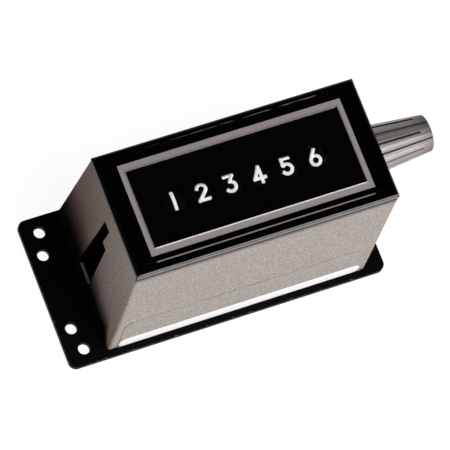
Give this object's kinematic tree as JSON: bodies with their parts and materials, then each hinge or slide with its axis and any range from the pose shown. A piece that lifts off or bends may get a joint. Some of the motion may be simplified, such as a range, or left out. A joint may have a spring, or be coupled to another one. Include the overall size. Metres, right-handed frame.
{
  "type": "electromechanical counter",
  "caption": "Boxed electromechanical counter with a row of figures behind a framed window, a grooved reset knob, a slotted end wall and a drilled base plate; coil and armature step the wheels.",
  "frame": {"origin": "on the underside of the base plate, below the middle of the figure window", "axes": "+X along the row of figures towards the reset knob, +Y towards the top of the figures, +Z out of the window"},
  "size_m": [0.0947, 0.04, 0.0518],
  "materials": {
    "black_enamel": "semi-gloss black enamel",
    "grey_enamel": "fine-grained warm grey enamel",
    "bezel_black": "glossy moulded black",
    "trim_silver": "satin",
    "clear_pane": "polished clear acrylic",
    "mask_black": "dead black",
    "label_grey": "matt printed foil, bare",
    "blackened_steel": "blackened sheet steel",
    "wheel_black": "moulded black",
    "nylon": "natural nylon",
    "steel": "bright drawn steel",
    "soft_iron": "zinc-plated soft iron",
    "brass": "turned brass",
    "copper_wire": "enamelled copper wire",
    "coil_tape": "varnished tape",
    "stop_rubber": "black rubber",
    "board_brown": "phenolic board",
    "lead_red": "insulated wire",
    "knob_metal": "satin turned aluminium"
  },
  "bodies": {
    "case": {"base_plate": "black_enamel", "housing": "grey_enamel", "bezel": "bezel_black", "trim_frame": "trim_silver", "window_pane": "clear_pane", "wheel_mask": "mask_black", "label_plate": "label_grey", "left_side_plate": "blackened_steel", "right_side_plate": "blackened_steel", "tie_rods": "steel", "left_bush": "brass", "right_bush": "brass", "pinion_shaft": "steel", "coil_bobbin": "nylon", "coil_winding": "copper_wire", "coil_wrap": "coil_tape", "coil_core": "soft_iron", "yoke": "soft_iron", "yoke_screws": "steel", "armature_pin": "steel", "spring_anchor": "steel", "return_spring": "steel", "stop_rod": "steel", "stop_sleeve": "stop_rubber", "detent_post": "steel", "detent_spring": "steel", "terminal_board": "board_brown", "terminal_tabs": "brass", "coil_leads": "lead_red", "frame_screws": "steel", "cover_screws": "steel"},
    "reset": {"reset_shaft": "steel", "reset_knob": "knob_metal", "knob_set_screw": "steel", "shaft_clip": "steel"},
    "units": {"units_wheel": "wheel_black", "reset_pawl_1": "brass", "star_wheel": "brass"},
    "tens": {"tens_wheel": "wheel_black", "reset_pawl_2": "brass"},
    "hundreds": {"hundreds_wheel": "wheel_black", "reset_pawl_3": "brass"},
    "thousands": {"thousands_wheel": "wheel_black", "reset_pawl_4": "brass"},
    "ten_thousands": {"ten_thousands_wheel": "wheel_black", "reset_pawl_5": "brass"},
    "hundred_thousands": {"hundred_thousands_wheel": "wheel_black", "reset_pawl_6": "brass"},
    "pinion_1": {"transfer_pinion_1": "nylon"},
    "pinion_2": {"transfer_pinion_2": "nylon"},
    "pinion_3": {"transfer_pinion_3": "nylon"},
    "pinion_4": {"transfer_pinion_4": "nylon"},
    "pinion_5": {"transfer_pinion_5": "nylon"},
    "rocker": {"armature": "soft_iron", "verge": "steel", "verge_rivets": "brass"}
  },
  "joints": [
    {"name": "reset_knob_turn", "type": "hinge", "parent": "case", "child": "reset", "pos_m": [0, 0, 0.0414], "axis": [1, 0, 0], "continuous": true},
    {"name": "units_turn", "type": "hinge", "parent": "case", "child": "units", "pos_m": [0, 0, 0.0414], "axis": [1, 0, 0], "continuous": true},
    {"name": "tens_turn", "type": "hinge", "parent": "case", "child": "tens", "pos_m": [0, 0, 0.0414], "axis": [1, 0, 0], "continuous": true},
    {"name": "hundreds_turn", "type": "hinge", "parent": "case", "child": "hundreds", "pos_m": [0, 0, 0.0414], "axis": [1, 0, 0], "continuous": true},
    {"name": "thousands_turn", "type": "hinge", "parent": "case", "child": "thousands", "pos_m": [0, 0, 0.0414], "axis": [1, 0, 0], "continuous": true},
    {"name": "ten_thousands_turn", "type": "hinge", "parent": "case", "child": "ten_thousands", "pos_m": [0, 0, 0.0414], "axis": [1, 0, 0], "continuous": true},
    {"name": "hundred_thousands_turn", "type": "hinge", "parent": "case", "child": "hundred_thousands", "pos_m": [0, 0, 0.0414], "axis": [1, 0, 0], "continuous": true},
    {"name": "pinion_1_turn", "type": "hinge", "parent": "case", "child": "pinion_1", "pos_m": [0, 0.01092, 0.0414], "axis": [1, 0, 0], "continuous": true},
    {"name": "pinion_2_turn", "type": "hinge", "parent": "case", "child": "pinion_2", "pos_m": [0, 0.01092, 0.0414], "axis": [1, 0, 0], "continuous": true},
    {"name": "pinion_3_turn", "type": "hinge", "parent": "case", "child": "pinion_3", "pos_m": [0, 0.01092, 0.0414], "axis": [1, 0, 0], "continuous": true},
    {"name": "pinion_4_turn", "type": "hinge", "parent": "case", "child": "pinion_4", "pos_m": [0, 0.01092, 0.0414], "axis": [1, 0, 0], "continuous": true},
    {"name": "pinion_5_turn", "type": "hinge", "parent": "case", "child": "pinion_5", "pos_m": [0, 0.01092, 0.0414], "axis": [1, 0, 0], "continuous": true},
    {"name": "armature_rock", "type": "hinge", "parent": "case", "child": "rocker", "pos_m": [0, 0.0117, 0.0256], "axis": [1, 0, 0], "range_deg": [0, 2.6], "stiffness_Nm_per_rad": 0.02, "springref_deg": -5.73, "deforming": ["return_spring"]}
  ],
  "couplings": [
    {"joint": "tens_turn", "follows": "units_turn", "ratio": 0.1},
    {"joint": "hundreds_turn", "follows": "units_turn", "ratio": 0.01},
    {"joint": "thousands_turn", "follows": "units_turn", "ratio": 0.001},
    {"joint": "ten_thousands_turn", "follows": "units_turn", "ratio": 0.0001},
    {"joint": "hundred_thousands_turn", "follows": "units_turn", "ratio": 0.00001},
    {"joint": "pinion_1_turn", "follows": "units_turn", "ratio": -0.25},
    {"joint": "pinion_2_turn", "follows": "units_turn", "ratio": -0.025},
    {"joint": "pinion_3_turn", "follows": "units_turn", "ratio": -0.0025},
    {"joint": "pinion_4_turn", "follows": "units_turn", "ratio": -0.00025},
    {"joint": "pinion_5_turn", "follows": "units_turn", "ratio": -0.000025}
  ]
}
